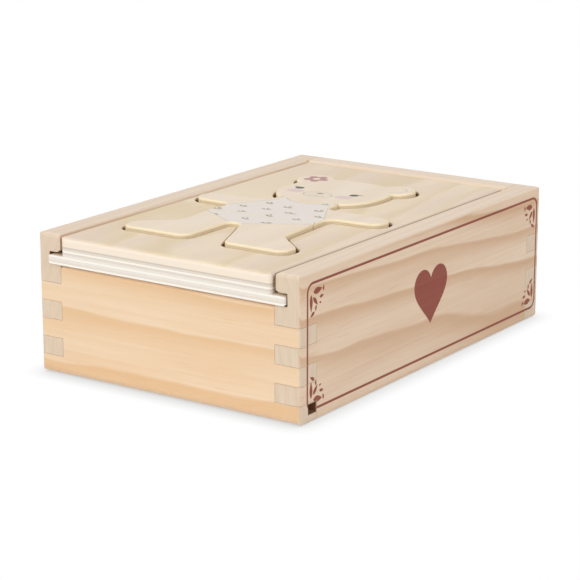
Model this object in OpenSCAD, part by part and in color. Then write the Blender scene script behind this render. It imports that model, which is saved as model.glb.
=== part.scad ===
// Slide-lid pine box whose plywood lid is the board of a bear figure puzzle.
// X runs across the box, Y along it with the lid's way out at -Y, and Z up from the table.

/* [Box] */
// Width of the box outside
box_w = 135; // [110:1:180]
// Length of the box outside
box_l = 200; // [185:1:280]
// Thickness of the pine walls
wall = 12; // [10:0.5:16]
// Radius of the lowest edges at the front and the back
foot_r = 4; // [1:0.5:7]
// Radius of the other outer edges, sanded after assembly
edge_r = 1.8; // [0.4:0.1:2.5]
// Radius of the walls' inner edges above the lid groove
lip_r = 2.5; // [0.5:0.1:3]
// Radius of the walls' upper inner edges
rim_r = 1.9; // [0.2:0.1:2]

/* [Corner joints] */
// Height of the lowest finger
foot_h = 8.7; // [7:0.1:9.5]
// Height of every other finger
finger_h = 8.1; // [6:0.1:8.5]
// Number of fingers on each corner of an end panel
end_fingers = 3; // [2:1:3]
// Glue line between two fingers
seam = 0.15; // [0.05:0.05:0.4]

/* [Base] */
// Thickness of the base sheet
base_t = 4; // [3:0.5:6]
// Height of the base sheet above the table
base_lift = 3.9; // [2:0.1:6]
// Depth of the grooves for the base and for the lid
groove_d = 6; // [4:0.5:7]
// Spare height of the base groove
base_play = 0.4; // [0.1:0.1:1]
// Spare room between the base sheet's edge and the bottom of its groove
base_edge_gap = 0.4; // [0.1:0.1:1]

/* [Lid] */
// Height of the side walls above the lid groove
lip_h = 7.8; // [6:0.1:12]
// Thickness of the lower sheet, whose edges are the tongues
tongue_t = 4; // [3:0.5:6]
// Radius of the tongues' edges
tongue_r = 1; // [0.2:0.1:1.4]
// Thickness of the upper sheet, which the figure is cut through
top_t = 8.5; // [5:0.1:9]
// Clearance below the tongues
slide_play = 0.25; // [0.1:0.05:0.5]
// Clearance above the tongues
tongue_room = 1.1; // [0.2:0.1:1.5]
// Clearance between a tongue's edge and the bottom of its groove
tongue_gap = 0.5; // [0.2:0.1:1]
// Gap between the upper sheet and the side walls
lip_gap = 1.2; // [0.3:0.1:2]
// How far the lid stands out past the front panel
overhang = 1.2; // [0:0.1:3]
// Gap between the lid and the back panel
lid_end_gap = 0.3; // [0.1:0.1:1]
// How far the front panel's top lies below the lid groove
front_drop = 0.35; // [0.1:0.05:1]
// Radius of the upper sheet's short top edges and corners
lid_edge_r = 2; // [0.3:0.1:2]
// Radius of the upper sheet's long top edges
lid_side_r = 1.4; // [0.2:0.1:2]

/* [Figure] */
// Width of the head without its ears
head_w = 51; // [46:1:66]
// Height of the head from chin to crown
head_h = 47.5; // [42:0.5:56]
// Squareness of the head: 2 is an ellipse
head_square = 2.6; // [2:0.1:3.5]
// Distance of the head from the middle of the lid to the left
head_shift = 2.6; // [0:0.1:4]
// Radius of an ear
ear_r = 9; // [7:0.5:11]
// Distance from the middle of the head to the middle of an ear
ear_reach = 28; // [23:0.5:31]
// Angle of the ears above the middle of the head, in degrees
ear_angle = 39; // [36:1:52]
// Softness of the corner between ear and head
ear_blend = 4; // [0.5:0.5:5]
// Half of the angle that the neck takes up below the head, in degrees
neck_spread = 36; // [25:1:40]
// Length of the torso from chin to waist
torso_l = 36; // [32:0.5:42]
// Distance of the torso from the middle of the lid to the left
torso_shift = 1.4; // [0:0.1:3]
// Width of the torso under the arms
chest_w = 52; // [40:1:56]
// Width of torso and legs at the waist cut
waist_w = 54; // [44:1:60]
// Distance from the chin down to the arms' upper edge
shoulder_drop = 8; // [4:0.5:10]
// Width of an arm at the shoulder
arm_w = 15; // [12:0.5:19]
// How far each edge of an arm draws in towards the hand
arm_taper = 1; // [0.5:0.1:2]
// Width across both ankles
ankle_w = 54; // [44:1:62]
// Height of the ankles above the soles
ankle_l = 23; // [16:1:26]
// Width across both feet
feet_w = 85; // [74:1:92]
// Height of a foot at its outer end
toe_l = 9.5; // [8:0.5:14]
// Gap between the feet
feet_gap = 20; // [14:1:28]
// Distance of the gap between the feet from the middle of the lid to the right
feet_shift = 2; // [0:0.5:4]
// Gap between the legs at the crotch
crotch_w = 6.5; // [6:0.5:12]
// Distance of the crotch from the middle of the lid to the left
crotch_shift = 4.5; // [0:0.5:5]
// Height of the crotch above the soles
crotch_l = 31; // [22:1:32]
// Radius of the hands and of the hollows that the ankles make
limb_r = 8; // [4:0.5:9]
// Radius of the soles, shoulders, armpits and crotch
joint_r = 5; // [3:0.5:6]

/* [Fit of the figure] */
// Wood left between the arms' recess and the lid's edge
lid_rim = 2.8; // [1.5:0.1:8]
// Distance from the back panel to the crown
crown_margin = 32.5; // [22:0.5:40]
// Distance from the front of the box to the soles
sole_margin = 25; // [20:0.5:34]
// Gap between the pieces and the recess
piece_gap = 1.7; // [0.5:0.1:2.2]
// Saw cut between two pieces
kerf = 0.4; // [0.3:0.1:1]
// How far the pieces stand out of the lid
proud = 1.8; // [1:0.1:4]
// Radius of the pieces' top edges
piece_r = 1; // [0.5:0.1:2.5]

/* [Storage] */
// Free height between the stored pieces and the lid
headroom = 10.9; // [10.5:0.1:30]
// Free space between the stacks of heads, torsos and legs
stack_gap = 6; // [4:0.5:12]

/* [Hidden] */
PIECES = ["head", "torso", "legs"];
LAYERS = 3;
$fn = 48;
// Excess of a cutting solid over the wood that it cuts
over = 1;
// Largest turn between two points of an outline, in degrees
arc_step = 15;
head_step = 3;
// Points of an outline that lie closer than this are one point
shortest_side = 0.01;
// Steps in the round of a piece's top edge
round_steps = 3;
pine = "#e6cb9d";
plywood = "#e9dcc4";
bare_wood = "#ecdfc9";

inner_w = box_w - 2 * wall;
inner_l = box_l - 2 * wall;
piece_t = top_t + proud;
base_top = base_lift + base_t;
lid_z = base_top + LAYERS * piece_t + headroom;
recess_z = lid_z + tongue_t;
lid_groove_z = lid_z - slide_play;
lid_groove_h = slide_play + tongue_t + tongue_room;
box_h = lid_groove_z + lid_groove_h + lip_h;
front_h = lid_groove_z - front_drop;
lid_front = -box_l / 2 - overhang;
lid_back = inner_l / 2 - lid_end_gap;
lid_half_w = inner_w / 2 - lip_gap;

crown_y = inner_l / 2 - crown_margin;
chin_y = crown_y - head_h;
head_middle = [-head_shift, crown_y - head_h / 2];
waist_y = chin_y - torso_l;
arm_top_y = chin_y - shoulder_drop;
armpit_y = arm_top_y - arm_w;
hand_x = lid_half_w - lid_rim - piece_gap;
sole_y = -box_l / 2 + sole_margin;

// Outlines

function unit(v) = v / norm(v);

function turned(v, angle) = [v.x * cos(angle) - v.y * sin(angle), v.x * sin(angle) + v.y * cos(angle)];

// A corner b between a and c rounded with radius r, which takes at most half of either side
function fillet(a, b, c, r) =
    let (
        u = unit(a - b),
        v = unit(c - b),
        half = acos(u * v) / 2,
        run = min(r / tan(half), norm(a - b) / 2, norm(c - b) / 2),
        fit_r = run * tan(half),
        centre = b + unit(u + v) * fit_r / sin(half),
        sweep = (180 - 2 * half) * sign(cross(-u, v)),
        steps = ceil(abs(sweep) / arc_step)
    )
    [for (i = [0 : steps]) centre + turned(b + u * run - centre, sweep * i / steps)];

function distinct(outline) =
    let (count = len(outline))
    [for (i = [0 : count - 1]) if (norm(outline[i] - outline[(i + 1) % count]) > shortest_side) outline[i]];

// Corners given as [x, y, radius]; a radius of 0 leaves the corner sharp
function rounded(corners) =
    let (count = len(corners), flat = [for (c = corners) [c.x, c.y]])
    distinct([for (i = [0 : count - 1])
        each corners[i][2] > 0
            ? fillet(flat[(i + count - 1) % count], flat[i], flat[(i + 1) % count], corners[i][2])
            : [flat[i]]]);

function reversed(list) = [for (i = [len(list) - 1 : -1 : 0]) list[i]];

// Every side of an anticlockwise outline moved outwards by d
function grown(outline, d) =
    let (count = len(outline))
    [for (i = [0 : count - 1])
        let (
            before = unit(outline[i] - outline[(i + count - 1) % count]),
            after = unit(outline[(i + 1) % count] - outline[i]),
            normals = [before.y + after.y, -before.x - after.x]
        )
        outline[i] + normals * d / (1 + before * after)];

function superellipse_radius(angle) =
    pow(
        pow(abs(cos(angle)) / (head_w / 2), head_square) + pow(abs(sin(angle)) / (head_h / 2), head_square),
        -1 / head_square
    );

// Far side of an ear, seen from the middle of the head at an angle from the ear's own
function ear_radius(angle) =
    let (offset = ear_reach * sin(angle))
    cos(angle) > 0 && abs(offset) < ear_r ? ear_reach * cos(angle) + sqrt(ear_r * ear_r - offset * offset) : 0;

function soft_max(a, b) = (a + b + norm([a - b, ear_blend])) / 2;

function head_radius(angle) =
    soft_max(
        superellipse_radius(angle),
        max(ear_radius(angle - ear_angle), ear_radius(angle - 180 + ear_angle))
    );

function head_point(angle, gap = 0) = head_middle + (head_radius(angle) + gap) * [cos(angle), sin(angle)];

head_outline = [for (angle = [0 : head_step : 360 - head_step]) head_point(angle)];

// Corners of the torso from waist to neck, on the right for a side of 1 and on the left for -1
function torso_side(side) =
    let (middle = -torso_shift, neck = head_point(270 + side * neck_spread, kerf))
    [
        [middle + side * waist_w / 2, waist_y, 0],
        [middle + side * chest_w / 2, armpit_y, joint_r],
        [side * hand_x, armpit_y + arm_taper, limb_r],
        [side * hand_x, arm_top_y - arm_taper, limb_r],
        [neck.x, arm_top_y, joint_r],
        [neck.x, neck.y, 0]
    ];

chin_line = [for (angle = [270 + neck_spread - head_step : -head_step : 270 - neck_spread + head_step])
    concat(head_point(angle, kerf), 0)];
torso_outline = rounded(concat(torso_side(1), chin_line, reversed(torso_side(-1))));

// Corners of the legs from crotch to waist
function legs_side(side) = [
    [-crotch_shift + side * crotch_w / 2, sole_y + crotch_l, joint_r],
    [feet_shift + side * feet_gap / 2, sole_y, joint_r],
    [side * feet_w / 2, sole_y, joint_r],
    [side * feet_w / 2, sole_y + toe_l, joint_r],
    [side * ankle_w / 2, sole_y + ankle_l, limb_r],
    [-torso_shift + side * waist_w / 2, waist_y - kerf, 0]
];

legs_outline = rounded(concat(legs_side(1), reversed(legs_side(-1))));

function outline_of(piece) =
    piece == "head" ? head_outline : piece == "torso" ? torso_outline : legs_outline;

// Shared shapes

// What a round of radius r takes off a corner at the origin, with the wood towards -X and -Y
module corner_waste(r) {
    translate([-r, -r]) difference() {
        square(r + over);
        circle(r);
    }
}

// Rectangle on the X axis with round lower and upper corners
module eased_profile(w, h, low_r, high_r) {
    difference() {
        translate([-w / 2, 0]) square([w, h]);
        for (side = [0, 1]) mirror([side, 0]) {
            translate([w / 2, h]) corner_waste(high_r);
            if (low_r > 0) translate([w / 2, 0]) mirror([0, 1]) corner_waste(low_r);
        }
    }
}

// Profile drawn in X and Z, carried along Y
module along_y(from, to) {
    translate([0, to, 0]) rotate([90, 0, 0]) linear_extrude(to - from) children();
}

// Profile drawn in Y and Z, carried along X
module along_x(from, to) {
    translate([from, 0, 0]) rotate([90, 0, 90]) linear_extrude(to - from) children();
}

module block(low, high) {
    translate(low) cube(high - low);
}

// The assembled box as one sanded block
module sanded_block() {
    intersection() {
        along_y(-box_l / 2, box_l / 2) eased_profile(box_w, box_h, edge_r, edge_r);
        along_x(-box_w / 2, box_w / 2) eased_profile(box_l, box_h, foot_r, edge_r);
        translate([0, -box_l / 2, 0]) linear_extrude(box_h) eased_profile(box_w, box_l, edge_r, edge_r);
    }
}

// Height of the seam above a number of fingers
function seam_z(fingers) = fingers == 0 ? 0 : foot_h + (fingers - 1) * finger_h;

// Room for the side panels' fingers at both corners of an end panel on the -Y end
module side_finger_room(height) {
    for (side = [0, 1], i = [0 : end_fingers - 1]) mirror([side, 0, 0]) {
        top = i == end_fingers - 1 ? height + over : seam_z(2 * i + 2) + seam / 2;
        block(
            [inner_w / 2 - seam, -box_l / 2 - over, seam_z(2 * i + 1) - seam / 2],
            [box_w / 2 + over, -inner_l / 2 + over, top]
        );
    }
}

// Room for the end panels' fingers at both ends of the right side panel
module end_finger_room() {
    for (side = [0, 1], i = [0 : end_fingers - 1]) mirror([0, side, 0]) {
        low = i == 0 ? -over : seam_z(2 * i) - seam / 2;
        block(
            [inner_w / 2 - over, -box_l / 2 - over, low],
            [box_w / 2 + over, -inner_l / 2 + seam, seam_z(2 * i + 1) + seam / 2]
        );
    }
}

// Groove for the base sheet, seen along either wall
module base_groove_profile(inner_face) {
    translate([inner_face - over, base_lift]) square([groove_d + over, base_t + base_play]);
}

module lid_groove_profile() {
    translate([inner_w / 2 - over, lid_groove_z]) square([groove_d + over, lid_groove_h]);
}

// Panel on the -Y end, whose base groove ends at a distance from the middle
module end_panel(height, groove_end) {
    difference() {
        intersection() {
            sanded_block();
            block([-box_w / 2, -box_l / 2, 0], [box_w / 2, -inner_l / 2, height]);
        }
        side_finger_room(height);
        along_x(-groove_end, groove_end) mirror([1, 0]) base_groove_profile(inner_l / 2);
    }
}

// Panel on the +X side
module side_panel() {
    difference() {
        intersection() {
            sanded_block();
            block([inner_w / 2, -box_l / 2, 0], [box_w / 2, box_l / 2, box_h]);
        }
        end_finger_room();
        along_y(-box_l / 2 - over, box_l / 2 + over) {
            base_groove_profile(inner_w / 2);
            lid_groove_profile();
        }
        along_y(-box_l / 2 - over, inner_l / 2) {
            translate([inner_w / 2, box_h]) mirror([1, 0]) corner_waste(rim_r);
            translate([inner_w / 2, box_h - lip_h]) rotate(180) corner_waste(lip_r);
        }
    }
}

function in_triangle(p, a, b, c) =
    cross(b - a, p - a) >= 0 && cross(c - b, p - b) >= 0 && cross(a - c, p - c) >= 0;

// Whether the corner at left[i] can be cut off the part of an outline that is left
function is_ear(outline, left, i) =
    let (
        count = len(left),
        corner = [for (k = [-1 : 1]) left[(i + count + k) % count]],
        a = outline[corner[0]],
        b = outline[corner[1]],
        c = outline[corner[2]]
    )
    cross(b - a, c - b) > 0
    && len([for (k = left) if (len(search(k, corner)) == 0 && in_triangle(outline[k], a, b, c)) k]) == 0;

function first_ear(outline, left, i = 0) = is_ear(outline, left, i) ? i : first_ear(outline, left, i + 1);

// Triangles that fill an anticlockwise outline, cut off one corner at a time
function filled(outline, left) =
    len(left) == 3
        ? [left]
        : let (count = len(left), i = first_ear(outline, left))
            concat(
                [[for (k = [-1 : 1]) left[(i + count + k) % count]]],
                filled(outline, [for (k = [0 : count - 1]) if (k != i) left[k]])
            );

// Slab with the given outline, a flat bottom at z and rounded top edges
module rounded_slab(outline, z) {
    count = len(outline);
    corners = [for (i = [0 : count - 1]) i];
    rings = concat(
        [[for (p = outline) concat(p, z)]],
        [for (i = [0 : round_steps])
            let (angle = 90 * i / round_steps, inset = piece_r * (1 - cos(angle)))
            [for (p = grown(outline, -inset)) concat(p, z + piece_t - piece_r * (1 - sin(angle)))]]
    );
    top = len(rings) - 1;
    polyhedron(
        points = [for (ring = rings) each ring],
        faces = concat(
            filled(outline, corners),
            [for (k = [0 : top - 1], i = [0 : count - 1])
                let (low = k * count, high = low + count, next = (i + 1) % count)
                each [[low + i, high + i, high + next], [low + i, high + next, low + next]]],
            [for (t = filled(grown(outline, -piece_r), corners)) [for (k = [2 : -1 : 0]) top * count + t[k]]]
        )
    );
}

// Sub-parts

// The front panel's base groove runs right through its lowest fingers
module front_panel() {
    color(pine) difference() {
        end_panel(front_h, box_w / 2 + over);
        along_x(-box_w / 2, box_w / 2)
            translate([-box_l / 2, front_h]) mirror([1, 0]) corner_waste(edge_r);
    }
}

module back_panel() {
    color(pine) difference() {
        mirror([0, 1, 0]) end_panel(box_h, inner_w / 2 + groove_d);
        along_x(-inner_w / 2, inner_w / 2)
            translate([inner_l / 2, box_h]) mirror([1, 0]) corner_waste(rim_r);
    }
}

module right_side_panel() {
    color(pine) side_panel();
}

module left_side_panel() {
    color(pine) mirror([1, 0, 0]) side_panel();
}

module base_panel() {
    reach = groove_d - base_edge_gap;
    color(plywood) block(
        [-inner_w / 2 - reach, -inner_l / 2 - reach, base_lift],
        [inner_w / 2 + reach, inner_l / 2 + reach, base_top]
    );
}

module lid_tongue_board() {
    half_w = inner_w / 2 + groove_d - tongue_gap;
    color(plywood) along_y(lid_front, lid_back)
        translate([0, lid_z]) eased_profile(2 * half_w, tongue_t, tongue_r, tongue_r);
}

module lid_top_board() {
    color(plywood) difference() {
        intersection() {
            along_y(lid_front, lid_back)
                translate([0, recess_z]) eased_profile(2 * lid_half_w, top_t, 0, lid_side_r);
            along_x(-lid_half_w, lid_half_w)
                translate([(lid_front + lid_back) / 2, recess_z])
                    eased_profile(lid_back - lid_front, top_t, 0, lid_edge_r);
            translate([0, lid_front, recess_z]) linear_extrude(top_t)
                eased_profile(2 * lid_half_w, lid_back - lid_front, lid_edge_r, lid_edge_r);
        }
        translate([0, 0, recess_z - over]) linear_extrude(top_t + 2 * over)
            for (piece = PIECES) polygon(grown(outline_of(piece), piece_gap));
    }
}

module lid_piece(piece) {
    color(bare_wood) rounded_slab(outline_of(piece), recess_z);
}

// The torsos lie under the lid's torso, with the heads behind them and the legs before them
module stored_piece(piece, layer) {
    away = piece == "head" ? stack_gap - kerf : piece == "legs" ? kerf - stack_gap : 0;
    color(bare_wood) translate([0, away, 0])
        rounded_slab(outline_of(piece), base_top + (layer - 1) * piece_t);
}

front_panel();
back_panel();
left_side_panel();
right_side_panel();
base_panel();
lid_tongue_board();
lid_top_board();
for (piece = PIECES) {
    lid_piece(piece);
    for (layer = [1 : LAYERS])
        stored_piece(piece, layer);
}
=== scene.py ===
"""Looks of a slide-lid pine box whose plywood lid is the board of a bear figure puzzle.

Lengths are in millimetres until a mesh, a lamp or the camera is made.
X runs across the box, Y along it and Z up.
"""

import logging
import math
from dataclasses import dataclass, field
from enum import Enum
from functools import cache
from typing import Union

import bpy
import numpy as np
from bpy.types import Material, Mesh, Node, NodeSocket, NodeTree
from numpy.typing import NDArray
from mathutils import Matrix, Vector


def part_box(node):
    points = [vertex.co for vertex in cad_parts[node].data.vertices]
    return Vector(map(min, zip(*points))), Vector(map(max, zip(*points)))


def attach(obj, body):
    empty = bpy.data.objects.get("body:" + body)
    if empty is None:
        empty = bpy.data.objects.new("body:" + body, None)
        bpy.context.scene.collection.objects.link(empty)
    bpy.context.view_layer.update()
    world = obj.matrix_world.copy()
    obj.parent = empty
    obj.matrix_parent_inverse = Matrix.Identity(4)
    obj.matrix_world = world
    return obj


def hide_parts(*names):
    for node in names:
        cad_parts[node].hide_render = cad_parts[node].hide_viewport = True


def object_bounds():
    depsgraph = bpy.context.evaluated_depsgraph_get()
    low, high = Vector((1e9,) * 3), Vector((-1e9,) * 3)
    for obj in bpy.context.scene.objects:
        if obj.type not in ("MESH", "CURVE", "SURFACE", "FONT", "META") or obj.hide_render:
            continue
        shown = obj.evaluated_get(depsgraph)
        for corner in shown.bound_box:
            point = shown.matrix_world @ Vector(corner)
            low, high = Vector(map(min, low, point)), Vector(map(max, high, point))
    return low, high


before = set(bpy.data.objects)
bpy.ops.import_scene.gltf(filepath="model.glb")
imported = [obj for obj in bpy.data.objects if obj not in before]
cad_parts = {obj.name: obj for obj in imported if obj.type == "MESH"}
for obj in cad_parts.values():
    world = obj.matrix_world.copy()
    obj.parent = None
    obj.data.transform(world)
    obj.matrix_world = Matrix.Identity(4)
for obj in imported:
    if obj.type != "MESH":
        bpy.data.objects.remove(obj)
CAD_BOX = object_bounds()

LOG = logging.getLogger("puzzle_box")
MM = 0.001
WHITE = (1.0, 1.0, 1.0, 1.0)

Colour = tuple[float, float, float, float]
Pair = tuple[float, float]
Triple = tuple[float, float, float]
Points = NDArray[np.float64]
Feed = Union["Signal", float, tuple[float, ...]]
Feeds = dict[Union[int, str], Feed]


def srgb(red: int, green: int, blue: int) -> Colour:
    """Turn a colour as a screen shows it into the linear one that shaders take.

    Args:
        red: Red from 0 to 255.
        green: Green from 0 to 255.
        blue: Blue from 0 to 255.

    Returns:
        The linear colour with an alpha of 1.
    """
    levels = np.array([red, green, blue]) / 255.0
    linear = np.where(levels <= 0.04045, levels / 12.92, ((levels + 0.055) / 1.055) ** 2.4)
    return (float(linear[0]), float(linear[1]), float(linear[2]), 1.0)


def node_box(node: str) -> tuple[Points, Points]:
    """Return the low and high corners of a CAD node's box in millimetres."""
    low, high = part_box(node)
    return np.array(low) / MM, np.array(high) / MM


class Axis(Enum):
    """Direction in the part's own frame."""

    X = 0
    Y = 1
    Z = 2


class Kind(Enum):
    """What a node group's socket carries."""

    VECTOR = "NodeSocketVector"
    VALUE = "NodeSocketFloat"


class Signal:
    """What a node puts out, with the arithmetic of numbers and vectors."""

    def __init__(self, graph: "Graph", socket: NodeSocket) -> None:
        """Keep the output and the graph that it belongs to."""
        self.graph = graph
        self.socket = socket

    def __add__(self, other: Feed) -> "Signal":
        """Return the sum."""
        return self.graph.work("ADD", self, other)

    def __sub__(self, other: Feed) -> "Signal":
        """Return the difference."""
        return self.graph.work("SUBTRACT", self, other)

    def __rsub__(self, other: Feed) -> "Signal":
        """Return the difference from a constant."""
        return self.graph.work("SUBTRACT", other, self)

    def __mul__(self, other: Feed) -> "Signal":
        """Return the product."""
        return self.graph.work("MULTIPLY", self, other)

    def __truediv__(self, other: Feed) -> "Signal":
        """Return the quotient."""
        return self.graph.work("DIVIDE", self, other)

    def __abs__(self) -> "Signal":
        """Return the size without the sign."""
        return self.graph.work("ABSOLUTE", self)


class Graph:
    """A node tree, with short ways to add nodes and join them."""

    NUMBER_RESULTS = ("LENGTH", "DISTANCE")

    def __init__(self, tree: NodeTree) -> None:
        """Keep the tree that nodes are added to."""
        self.tree = tree

    def feed(self, socket: NodeSocket, value: Feed) -> None:
        """Link a signal to an input, or set the input to a constant."""
        if isinstance(value, Signal):
            self.tree.links.new(value.socket, socket)
        else:
            socket.default_value = value

    def add(self, kind: str, feeds: Feeds, **settings: object) -> Node:
        """Add a node.

        Args:
            kind: Blender's name of the node's type.
            feeds: What goes into each input, by the input's number or name.
            **settings: Properties of the node itself.

        Returns:
            The new node.
        """
        node = self.tree.nodes.new(kind)
        for name, value in settings.items():
            setattr(node, name, value)
        for key, value in feeds.items():
            self.feed(node.inputs[key], value)
        return node

    def take(self, kind: str, feeds: Feeds, output: Union[int, str] = 0, **settings: object) -> Signal:
        """Add a node and return one of its outputs."""
        return Signal(self, self.add(kind, feeds, **settings).outputs[output])

    def work(self, operation: str, *values: Feed) -> Signal:
        """Add a Math node, or a Vector Math node where a vector takes part, and return its result."""
        feeds = dict(enumerate(values))
        if not any(self.is_vector(value) for value in values):
            return self.take("ShaderNodeMath", feeds, operation=operation)
        output = "Value" if operation in self.NUMBER_RESULTS else "Vector"
        return self.take("ShaderNodeVectorMath", feeds, output, operation=operation)

    @staticmethod
    def is_vector(value: Feed) -> bool:
        """Say whether a value is a vector."""
        return isinstance(value, tuple) or isinstance(value, Signal) and value.socket.type == "VECTOR"

    def parts(self, vector: Feed) -> tuple[Signal, ...]:
        """Split a vector into its three numbers."""
        return tuple(Signal(self, part) for part in self.add("ShaderNodeSeparateXYZ", {0: vector}).outputs)

    def join(self, x: Feed, y: Feed, z: Feed) -> Signal:
        """Make a vector of three numbers."""
        return self.take("ShaderNodeCombineXYZ", {0: x, 1: y, 2: z})

    def turned(self, vector: Feed, angle: Feed) -> Signal:
        """Turn a vector about the Z axis."""
        return self.take("ShaderNodeVectorRotate", {"Vector": vector, "Angle": angle}, rotation_type="Z_AXIS")

    def clamp(self, value: Feed) -> Signal:
        """Keep a number between 0 and 1."""
        return self.take("ShaderNodeClamp", {"Value": value})

    def rise(self, value: Feed, low: Feed, high: Feed) -> Signal:
        """Go from 0 at low to 1 at high in a soft S; low may lie above high."""
        feeds = {"Value": value, "From Min": low, "From Max": high}
        return self.take("ShaderNodeMapRange", feeds, interpolation_type="SMOOTHSTEP")

    def mix(self, share: Feed, first: Feed, second: Feed) -> Signal:
        """Mix two colours, all of the second one at a share of 1."""
        return self.take("ShaderNodeMix", {0: share, 6: first, 7: second}, 2, data_type="RGBA")

    def noise(self, point: Signal, stretch: Triple, detail: float) -> Signal:
        """Add smooth noise.

        Args:
            point: Where it is read, in millimetres.
            stretch: Waves per millimetre along each axis.
            detail: How many finer layers are added.

        Returns:
            A number from 0 to 1, mostly near 0.5.
        """
        return self.take("ShaderNodeTexNoise", {"Vector": point * stretch, "Scale": 1.0, "Detail": detail})

    def wave(self, value: Signal, pitch: float) -> Signal:
        """Return a sine from -1 to 1 that repeats at a pitch."""
        return self.work("SINE", value * (2 * math.pi / pitch))

    def random(self, seed: Feed) -> Signal:
        """Return a random number from 0 to 1 for each seed."""
        return self.take("ShaderNodeTexWhiteNoise", {"W": seed}, "Value", noise_dimensions="1D")

    def curve(self, value: Feed, stops: tuple[Pair, ...]) -> Signal:
        """Bend a number from 0 to 1 along straight runs between stops, each a place and a level."""
        node = self.add("ShaderNodeValToRGB", {0: value})
        elements = node.color_ramp.elements
        while len(elements) < len(stops):
            elements.new(1.0)
        for element, (place, level) in zip(elements, stops):
            element.position = place
            element.color = (level, level, level, 1.0)
        return Signal(self, node.outputs[0])

    def effect(self, group: NodeTree, feeds: Feeds) -> dict[str, Signal]:
        """Place a node group and return its outputs."""
        node = self.add("ShaderNodeGroup", feeds, node_tree=group)
        return {output.name: Signal(self, output) for output in node.outputs}


class Effect(Graph):
    """A shader node group in the making."""

    def __init__(
        self, name: str, takes: dict[str, Kind], gives: tuple[str, ...], kind: Kind = Kind.VALUE
    ) -> None:
        """Make the group with its named inputs, and its named outputs of one kind."""
        super().__init__(bpy.data.node_groups.new(name, "ShaderNodeTree"))
        for label, taken in takes.items():
            self.tree.interface.new_socket(label, in_out="INPUT", socket_type=taken.value)
        for label in gives:
            self.tree.interface.new_socket(label, in_out="OUTPUT", socket_type=kind.value)
        inputs = self.tree.nodes.new("NodeGroupInput").outputs
        self.taken = {label: Signal(self, inputs[label]) for label in takes}
        self.given = self.tree.nodes.new("NodeGroupOutput").inputs

    def give(self, **results: Feed) -> NodeTree:
        """Link the results to the outputs and return the finished group."""
        for label, value in results.items():
            self.feed(self.given[label], value)
        return self.tree


@dataclass(frozen=True)
class Coat:
    """Clear coat: least roughness, what fibres add to it, depth of the relief, level of reflection."""

    smooth: float
    fibre: float
    depth: float
    specular: float = 0.35


class Surface(Graph):
    """A material's node tree around one Principled BSDF."""

    def __init__(self, name: str) -> None:
        """Make the material with its shader and its Object coordinates."""
        self.material = bpy.data.materials.new(name)
        self.material.use_nodes = True
        super().__init__(self.material.node_tree)
        self.shader = next(n for n in self.tree.nodes if n.type == "BSDF_PRINCIPLED")
        coordinates = self.add("ShaderNodeTexCoord", {}).outputs
        self.normal = Signal(self, coordinates["Normal"])
        self.point = Signal(self, coordinates["Object"]) * (1.0 / MM, 1.0 / MM, 1.0 / MM)

    def board_point(self, along: Axis, across: Axis) -> Signal:
        """Turn the point so that its numbers run along the fibres, across the face and through the board."""
        through = Axis(sum(axis.value for axis in Axis) - along.value - across.value)
        parts = self.parts(self.point)
        return self.join(*(parts[axis.value] for axis in (along, across, through)))

    def facing(self, axis: Axis) -> Signal:
        """How far the surface faces along an axis, either way: 1 is square on."""
        return abs(self.parts(self.normal)[axis.value])

    def dress(self, colour: Feed, fibre: Signal, height: Feed, coat: Coat) -> Material:
        """Join the finish to the shader.

        Args:
            colour: Base colour.
            fibre: Where the wood's fibres lie.
            height: Relief from 0 to 1.
            coat: The clear coat.

        Returns:
            The finished material.
        """
        bump = self.take("ShaderNodeBump", {"Strength": 1.0, "Distance": coat.depth * MM, "Height": height})
        finish = {
            "Base Color": colour,
            "Roughness": fibre * coat.fibre + coat.smooth,
            "Specular IOR Level": coat.specular,
            "Normal": bump,
        }
        for name, value in finish.items():
            self.feed(self.shader.inputs[name], value)
        return self.material


@dataclass(frozen=True)
class Grain:
    """Noise in wood: waves per millimetre, finer layers, and the levels where it starts and is full."""

    stretch: Triple
    detail: float
    span: Pair

    def layer(self, graph: Graph, point: Signal) -> Signal:
        """Return the noise at a point as a share from 0 to 1."""
        return graph.rise(graph.noise(point, self.stretch, self.detail), *self.span)


FACE_GRAIN = {
    "Fibre": Grain((0.014, 0.8, 0.8), 5.0, (0.3, 0.7)),
    "Blotch": Grain((0.012, 0.04, 0.04), 2.0, (0.35, 0.65)),
    "Mottle": Grain((0.009, 0.2, 0.2), 3.0, (0.35, 0.65)),
    "Streak": Grain((0.05, 1.1, 1.1), 1.0, (0.66, 0.74)),
}
END_GRAIN = Grain((0.3, 0.05, 1.8), 3.0, (0.3, 0.7))
RING_SHADES = ((0.0, 0.0), (0.4, 0.05), (0.7, 0.35), (0.94, 1.0), (1.0, 1.0))
RING_CONTRAST = 0.4
SLOW_WAVE = (0.011, 0.022, 0.022)
QUICK_WAVE = (0.04, 0.12, 0.12)
QUICK_SHARE = 0.15
LINE_W = (0.36, 0.16)
LINE_END = 0.2
LEAF_SWELL = 0.75
LEAF_SOFT = 0.12
SHEET_W = (0.16, 0.11)
SHEET_WAVE = (0.12, 0.12, 0.0)
SHEET_SWING = 0.25
FLECK_WAVE = (0.7, 0.7, 2.5)


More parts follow.
